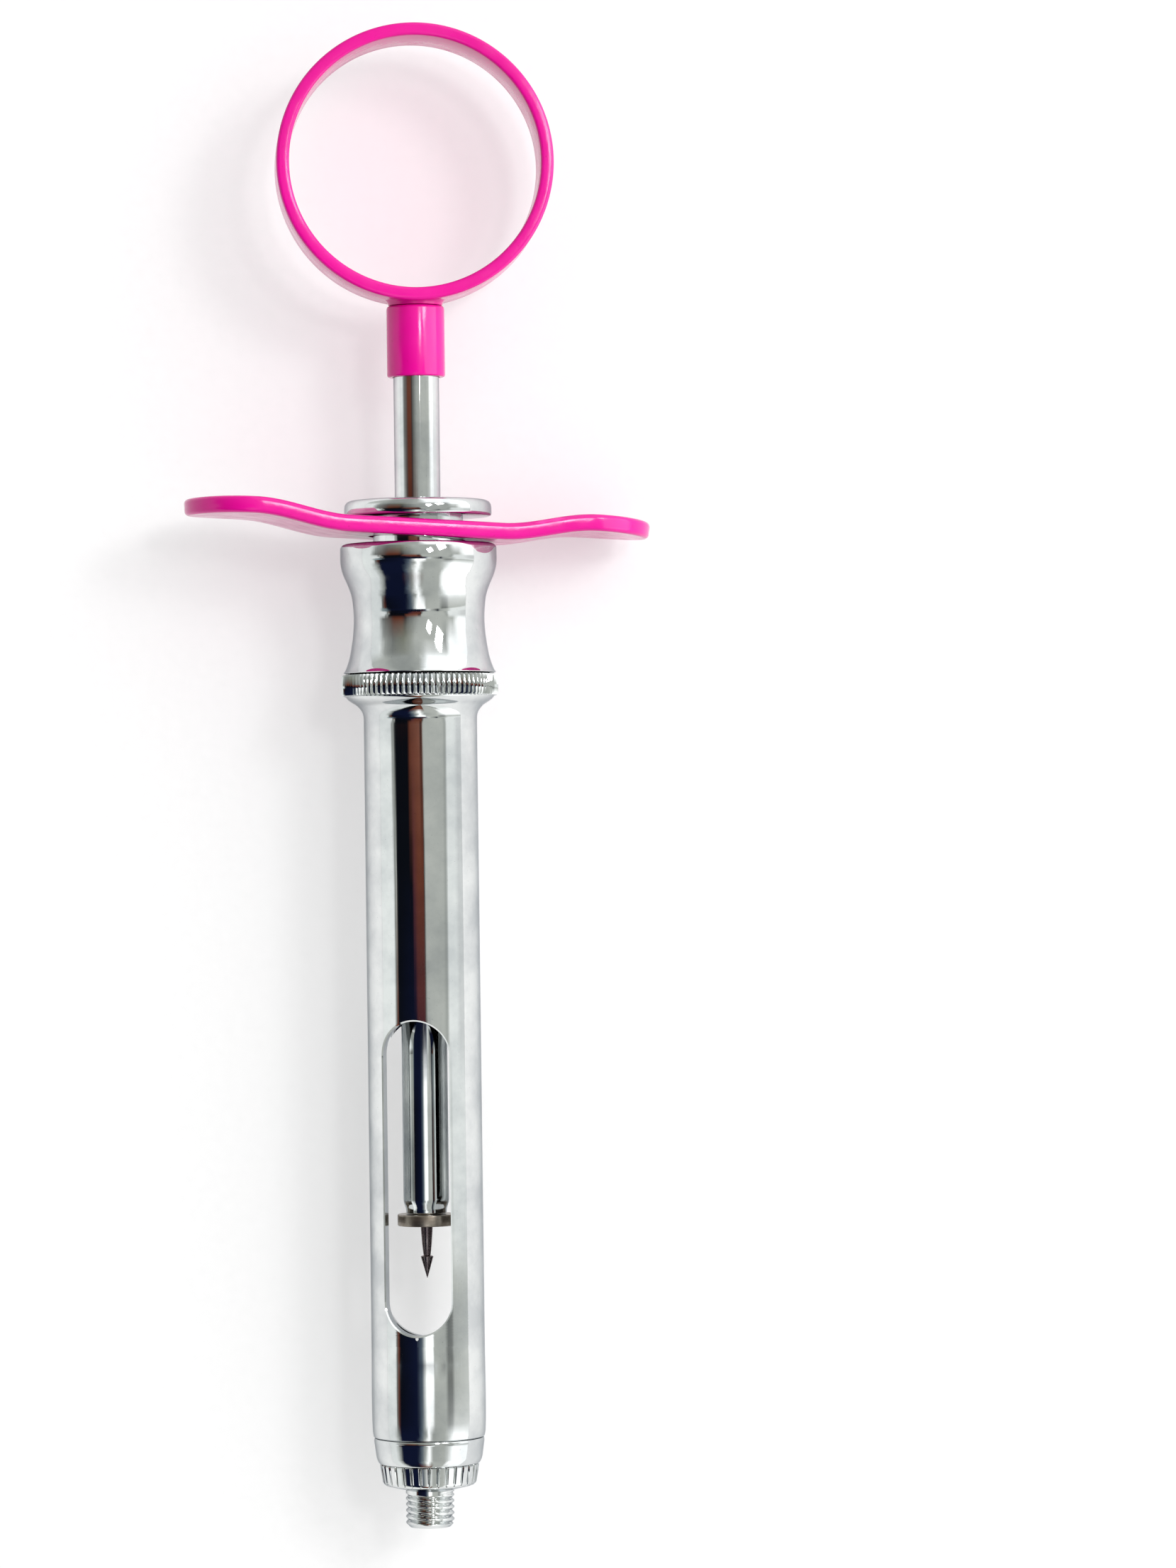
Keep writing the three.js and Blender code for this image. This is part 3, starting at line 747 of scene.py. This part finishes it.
# ---- Plunger -----------------------------------------------------------------------------
def plunger():
    hole = DISC["spigot"] + 0.06
    rod = bmesh.new()
    lathe(rod, [(0, DISC["end"] + 0.4), *filleted([
        (hole, DISC["end"] + 0.4),
        (hole, ROD["front"]),
        (ROD["neck"], ROD["front"], 0.1),
        (ROD["neck"], ROD["front"] + 0.45, 0.2),
        (ROD["radius"], ROD["front"] + ROD["neck_length"], 0.3),
        (ROD["radius"], ROD["rear"], 0.4),
    ]), (0, ROD["rear"])], SMALL_FACETS, open_end=True)
    piece(rod, "plunger_rod_shape", "plunger_rod", "plunger", CHROME)

    disc = bmesh.new()
    lathe(disc, filleted([
        (DISC["hole"], DISC["front"], 0.08),
        (DISC["radius"], DISC["front"], 0.14),
        (DISC["radius"], DISC["rear"], 0.14),
        (DISC["spigot"], DISC["rear"]),
        (DISC["spigot"], DISC["end"], 0.15),
        (DISC["hole"], DISC["end"]),
    ]), SMALL_FACETS)
    piece(disc, "piston_disc_shape", "piston_disc", "plunger", STEEL)

    point = bmesh.new()
    lathe(point, [(0, HARPOON["tip"]), *filleted([
        (0.03, HARPOON["tip"] + 0.02),
        (HARPOON["barb_radius"], HARPOON["barb"], 0.06),
        (HARPOON["waist"] - 0.14, HARPOON["barb"] + 0.12, 0.05),
        (HARPOON["waist"] - 0.08, HARPOON["barb"] + 0.5, 0.3),
        (HARPOON["waist"] + 0.02, HARPOON["barb"] + 1.4, 0.5),
        (HARPOON["shaft"], DISC["front"] - 0.3, 0.2),
        (HARPOON["shaft"], HARPOON["end"]),
    ]), (0, HARPOON["end"])], 48, open_end=True)
    piece(point, "harpoon_shape", "harpoon", "plunger", DARK_STEEL)

    socket = bmesh.new()
    lathe(socket, filleted([
        (SOCKET["bore"], SOCKET["front"], 0.15),
        (SOCKET["radius"], SOCKET["front"], 0.5),
        (SOCKET["radius"], SOCKET["rear"], 0.35),
        (SOCKET["hole"], SOCKET["rear"], 0.1),
        (SOCKET["hole"], SOCKET["web"]),
        (SOCKET["bore"], SOCKET["web"]),
    ]), SMALL_FACETS)
    piece(socket, "ring_socket_shape", "ring_socket", "plunger", ENAMEL)


def thumb_ring():
    """Flat band bent round, its neck and its peened stem."""
    shape = bmesh.new()
    half = RING["width"] / 2
    lathe(shape, filleted([
        (RING["inner"], -half, RING["edge"]),
        (RING["outer"], -half, RING["edge"]),
        (RING["outer"], half, RING["edge"]),
        (RING["inner"], half, RING["edge"]),
    ]), 192)
    moved(shape, Matrix.Rotation(math.pi / 2, 4, "X"))
    moved(shape, Matrix.Translation((0, RING["centre"], 0)))
    lathe(shape, [(0, RING_HEAD["front"]), *filleted([
        (RING_STEM["head"], RING_HEAD["front"], 0.4),
        (RING_STEM["head"], RING_HEAD["rear"]),
        (RING_STEM["stem"], RING_HEAD["rear"]),
        (RING_STEM["stem"], RING_STEM["front"]),
        (RING_STEM["neck"], RING_STEM["front"], 0.2),
        (RING_STEM["neck"] + 0.02, RING_STEM["front"] + 0.25, 0.1),
        (RING_STEM["neck"] + 0.25, RING_STEM["front"] + 0.6, 0.1),
        (RING_STEM["neck"] + 0.8, RING_STEM["rear"]),
    ]), (0, RING_STEM["rear"])], SMALL_FACETS, open_end=True)
    moved(shape, Matrix.Rotation(RING_ROLL, 4, "Y"))
    piece(shape, "thumb_ring_shape", "thumb_ring", "ring", ENAMEL, 40)


needle_adaptor()
barrel_nose()
barrel()
bolster()
lock_cap()
finger_plate()
plunger()
thumb_ring()

CARRIED_OVER = {
    "adaptor_o_ring": SILICONE,
    "nose_gasket": SILICONE,
    "barrel_o_ring": SILICONE,
    "cartridge_cushion": SILICONE,
    "rod_o_ring": SILICONE,
    "cartridge_stop_tube": BRASS,
    "gland_washer": STEEL,
    "swivel_washer": STEEL,
    "rod_guide_bush": FLUOROPOLYMER,
}
for node_name, material in CARRIED_OVER.items():
    node = frame["nodes"][node_name]
    for index in range(len(node.material_slots)):
        node.material_slots[index].material = material


# ---- Studio ------------------------------------------------------------------------------
FLOOR_REACH = 2.5


def floor():
    """A pale paper sheet with a faint tooth, which glows a little so that it stays pale."""
    n = Nodes("pale_paper")
    fibre = n.noise(900, 4, 0.6)
    colour = n.mix(n.remap(fibre, 0.3, 0.7, 0, 1), (0.66, 0.66, 0.66), (0.63, 0.63, 0.63))
    material = n.set(Base_Color=colour, Roughness=0.9, Normal=n.bump(fibre, 0.00003, 0.4),
                     Specular_IOR_Level=0.2, Emission_Color=(1.0, 1.0, 1.0), Emission_Strength=0.36)
    mesh = bpy.data.meshes.new("floor")
    reach = FLOOR_REACH
    corners = [(-reach, -reach, 0), (reach, -reach, 0), (reach, reach, 0), (-reach, reach, 0)]
    mesh.from_pydata(corners, [], [(0, 1, 2, 3)])
    sheet = bpy.data.objects.new("floor", mesh)
    bpy.context.scene.collection.objects.link(sheet)
    sheet.data.materials.append(material)


# What stands round the object, as seen in its plating. A band is (degrees from overhead towards
# +X, colour). Each row of bands is for one slope towards +Y.
NAVY = (0.006, 0.009, 0.03)
BLACK = (0.004, 0.005, 0.008)
SLATE = (0.09, 0.12, 0.16)
RUST = (0.15, 0.045, 0.026)
COPPER = (0.24, 0.09, 0.06)
PLUM = (0.1, 0.03, 0.035)
PALE = (0.94, 0.97, 0.96)
SOFT = (0.78, 0.8, 0.8)
MID = (0.52, 0.54, 0.51)
GREY = (0.4, 0.42, 0.4)
DULL = (0.2, 0.21, 0.2)
WHITE = (1.5, 1.52, 1.52)
SURROUNDINGS = [
    (-2.2, [(-180, PALE), (-64, PALE), (-58, DULL), (-53, BLACK), (-30, BLACK), (-26, RUST), (-4, COPPER),
            (8, RUST), (11, MID), (46, MID), (52, DULL), (57, PALE), (180, PALE)]),
    (-0.75, [(-180, PALE), (-75, PALE), (-66, GREY), (-60, NAVY), (-26, NAVY), (-20, SLATE), (-12, GREY),
             (-3, WHITE), (5, MID), (38, MID), (46, WHITE), (180, WHITE)]),
    (-0.3, [(-180, PALE), (-75, PALE), (-66, GREY), (-60, NAVY), (-22, NAVY), (-15, SLATE), (-6, GREY),
            (0, WHITE), (9, GREY), (34, MID), (46, PALE), (54, WHITE), (180, WHITE)]),
    (-0.083, [(-180, PALE), (-69, PALE), (-66, DULL), (-62, RUST), (-58, BLACK), (-22, NAVY), (-12, SLATE),
              (-5, PALE), (-2, WHITE), (9, WHITE), (13, MID), (36, MID), (42, DULL), (50, DULL), (56, MID),
              (180, PALE)]),
    (-0.073, [(-180, PALE), (-74, PALE), (-66, (0.33, 0.4, 0.41)), (-59, (0.2, 0.25, 0.27)), (-55, NAVY),
              (5, NAVY), (10, SLATE), (16, PALE), (22, MID), (29, DULL), (34, NAVY), (38, GREY), (50, MID),
              (60, PALE), (180, PALE)]),
    (-0.045, [(-180, PALE), (-74, PALE), (-66, (0.33, 0.4, 0.41)), (-59, (0.2, 0.25, 0.27)), (-50, BLACK),
              (2, BLACK), (7, PLUM), (12, SLATE), (18, MID), (28, GREY), (34, NAVY), (38, GREY), (50, MID),
              (60, PALE), (180, PALE)]),
    (-0.037, [(-180, PALE), (-61, PALE), (-58, DULL), (-55, RUST), (-52, BLACK), (-14, NAVY), (-11, PLUM),
             (2, PLUM), (5, DULL), (8, MID), (42, MID), (49, GREY), (54, PALE), (70, PALE), (80, SOFT),
             (96, SOFT), (180, PALE)]),
    (-0.01, [(-180, PALE), (-61, PALE), (-58, DULL), (-55, MID), (-53, BLACK), (-19, BLACK), (-16, PLUM),
             (-8, RUST), (2, RUST), (4, BLACK), (7, MID), (44, MID), (50, GREY), (54, PALE), (70, PALE),
             (80, SOFT), (96, SOFT), (180, PALE)]),
    (0.016, [(-180, PALE), (-63, PALE), (-60, DULL), (-58, MID), (-55, BLACK), (-26, BLACK), (-23, RUST),
             (-2, COPPER), (1, BLACK), (2.5, RUST), (5, MID), (45, MID), (51, GREY), (55, PALE), (70, PALE),
             (80, SOFT), (96, SOFT), (180, PALE)]),
    (0.07, [(-180, PALE), (-76, PALE), (-66, DULL), (-50, (0.12, 0.08, 0.07)), (-44, RUST), (-30, RUST),
            (-25, (0.05, 0.04, 0.04)), (-12, DULL), (0, GREY), (29, MID), (62, MID), (74, WHITE),
            (180, WHITE)]),
    (0.33, [(-180, PALE), (-72, PALE), (-62, GREY), (-48, DULL), (-26, (0.26, 0.27, 0.22)), (-5, MID),
            (38, MID), (48, GREY), (56, WHITE), (180, WHITE)]),
    (0.6, [(-180, PALE), (-66, MID), (-50, GREY), (-18, GREY), (0, MID), (8, PALE), (14, WHITE),
           (180, WHITE)]),
]


# The bands wander by this many radians in all, so that their edges aren't ruler-straight.
CLUTTER_SWAY = 0.1
CLUTTER_SCALE = 7


def world():
    """Bands for the plating to reflect, a soft dome for diffuse light, and plain white to look at."""
    made = bpy.data.worlds.new("studio_surroundings")
    bpy.context.scene.world = made
    made.use_nodes = True
    tree = made.node_tree
    nodes = tree.nodes
    link = tree.links.new
    background = nodes["Background"]
    split = nodes.new("ShaderNodeSeparateXYZ")
    direction = nodes.new("ShaderNodeTexCoord").outputs["Generated"]
    link(direction, split.inputs[0])

    def compute(operation, a, b=None):
        node = nodes.new("ShaderNodeMath")
        node.operation = operation
        for socket, value in zip(node.inputs, (a, b)):
            if isinstance(value, (int, float)):
                socket.default_value = value
            elif value is not None:
                link(value, socket)
        return node.outputs[0]

    x, y, z = split.outputs
    clutter = nodes.new("ShaderNodeTexNoise")
    clutter.inputs["Scale"].default_value = CLUTTER_SCALE
    clutter.inputs["Detail"].default_value = 1
    link(direction, clutter.inputs["Vector"])
    sway = compute("MULTIPLY_ADD", clutter.outputs["Fac"], CLUTTER_SWAY)
    sway.node.inputs[2].default_value = -CLUTTER_SWAY / 2
    turn = compute("ADD", compute("ARCTAN2", x, z), sway)
    share = compute("MULTIPLY_ADD", turn, 1 / (2 * math.pi))
    share.node.inputs[2].default_value = 0.5
    level = compute("SQRT", compute("ADD", compute("MULTIPLY", x, x), compute("MULTIPLY", z, z)))
    slope = compute("DIVIDE", y, level)

    mixed = None
    for index, (row_slope, bands) in enumerate(SURROUNDINGS):
        ramp = nodes.new("ShaderNodeValToRGB")
        elements = ramp.color_ramp.elements
        while len(elements) < len(bands):
            elements.new(1.0)
        for element, (degrees, colour) in zip(elements, bands):
            element.position = degrees / 360 + 0.5
            element.color = (*colour, 1.0)
        link(share, ramp.inputs["Fac"])
        if mixed is None:
            mixed = ramp.outputs["Color"]
            continue
        fade = nodes.new("ShaderNodeMapRange")
        fade.inputs["From Min"].default_value = SURROUNDINGS[index - 1][0]
        fade.inputs["From Max"].default_value = row_slope
        link(slope, fade.inputs["Value"])
        blend = nodes.new("ShaderNodeMix")
        blend.data_type = "RGBA"
        link(fade.outputs["Result"], blend.inputs["Factor"])
        link(mixed, blend.inputs["A"])
        link(ramp.outputs["Color"], blend.inputs["B"])
        mixed = blend.outputs["Result"]
    link(mixed, background.inputs["Color"])

    dome = nodes.new("ShaderNodeBackground")
    glow = nodes.new("ShaderNodeMapRange")
    for key, number in (("From Min", -1), ("From Max", 1), ("To Min", 0.36), ("To Max", 1.14)):
        glow.inputs[key].default_value = number
    link(x, glow.inputs["Value"])
    link(glow.outputs["Result"], dome.inputs["Color"])
    plain = nodes.new("ShaderNodeBackground")
    plain.inputs["Color"].default_value = (0.95, 0.95, 0.95, 1)
    ray = nodes.new("ShaderNodeLightPath").outputs
    shown = background
    for kind, other in (("Is Diffuse Ray", dome), ("Is Camera Ray", plain)):
        choose = nodes.new("ShaderNodeMixShader")
        link(ray[kind], choose.inputs["Fac"])
        link(shown.outputs[0], choose.inputs[1])
        link(other.outputs[0], choose.inputs[2])
        shown = choose
    link(shown.outputs[0], nodes["World Output"].inputs["Surface"])


def softbox(name, location, size, power, glossy, receivers=None):
    """A square lamp that faces the object. With receivers, it lights only those pieces."""
    lamp = bpy.data.lights.new(name, "AREA")
    lamp.size = size
    lamp.energy = power
    made = bpy.data.objects.new(name, lamp)
    bpy.context.scene.collection.objects.link(made)
    made.location = location
    made.rotation_euler = (-Vector(location)).to_track_quat("-Z", "Y").to_euler()
    made.visible_glossy = glossy
    made.visible_camera = False
    if receivers:
        lit = bpy.data.collections.new(name + "_receivers")
        for receiver in receivers:
            lit.objects.link(receiver)
        made.light_linking.receiver_collection = lit


# Metres from the long axis, for the eye and for what it looks at
CAMERA_EYE = (0.0066, -0.0061, 0.592)
CAMERA_TARGET = (0.0181, -0.0011, 0)
CAMERA_ROLL = math.radians(0.73)
CAMERA_LENS = 125.2
CAMERA_SENSOR = 36


def camera():
    """Straight above the barrel, turned a little, with the object left of the middle."""
    axis = Vector((AXIS_X, 0, AXIS_Z))
    eye = axis + Vector(CAMERA_EYE)
    target = axis + Vector(CAMERA_TARGET)
    roll = CAMERA_ROLL
    lens = bpy.data.cameras.new("camera")
    lens.lens = CAMERA_LENS
    lens.sensor_width = CAMERA_SENSOR
    lens.clip_start = 0.01
    made = bpy.data.objects.new("camera", lens)
    bpy.context.scene.collection.objects.link(made)
    back = (eye - target).normalized()
    up = Vector((math.sin(roll), math.cos(roll), 0))
    right = up.cross(back).normalized()
    upright = back.cross(right)
    turn = Matrix((right, upright, back)).transposed().to_4x4()
    made.matrix_world = Matrix.Translation(eye) @ turn
    bpy.context.scene.camera = made


floor()
world()
# Each lamp has a place and a size in metres, and a power in watts.
softbox("key", (0.6, 0.3, 0.8), 0.7, 1.8, False)
softbox("lamp", (0.57, 0.32, 0.82), 0.2, 1.6, True)
softbox("small_lamp", (0.3, 0.2, 0.95), 0.12, 1.0, True)
enamelled = [made for made in bpy.data.objects if ENAMEL.name in made.material_slots]
softbox("side_panel", (0.75, 0.05, 0.32), 1.0, 5.2, True, enamelled)
camera()
bpy.context.scene.view_settings.view_transform = "Standard"
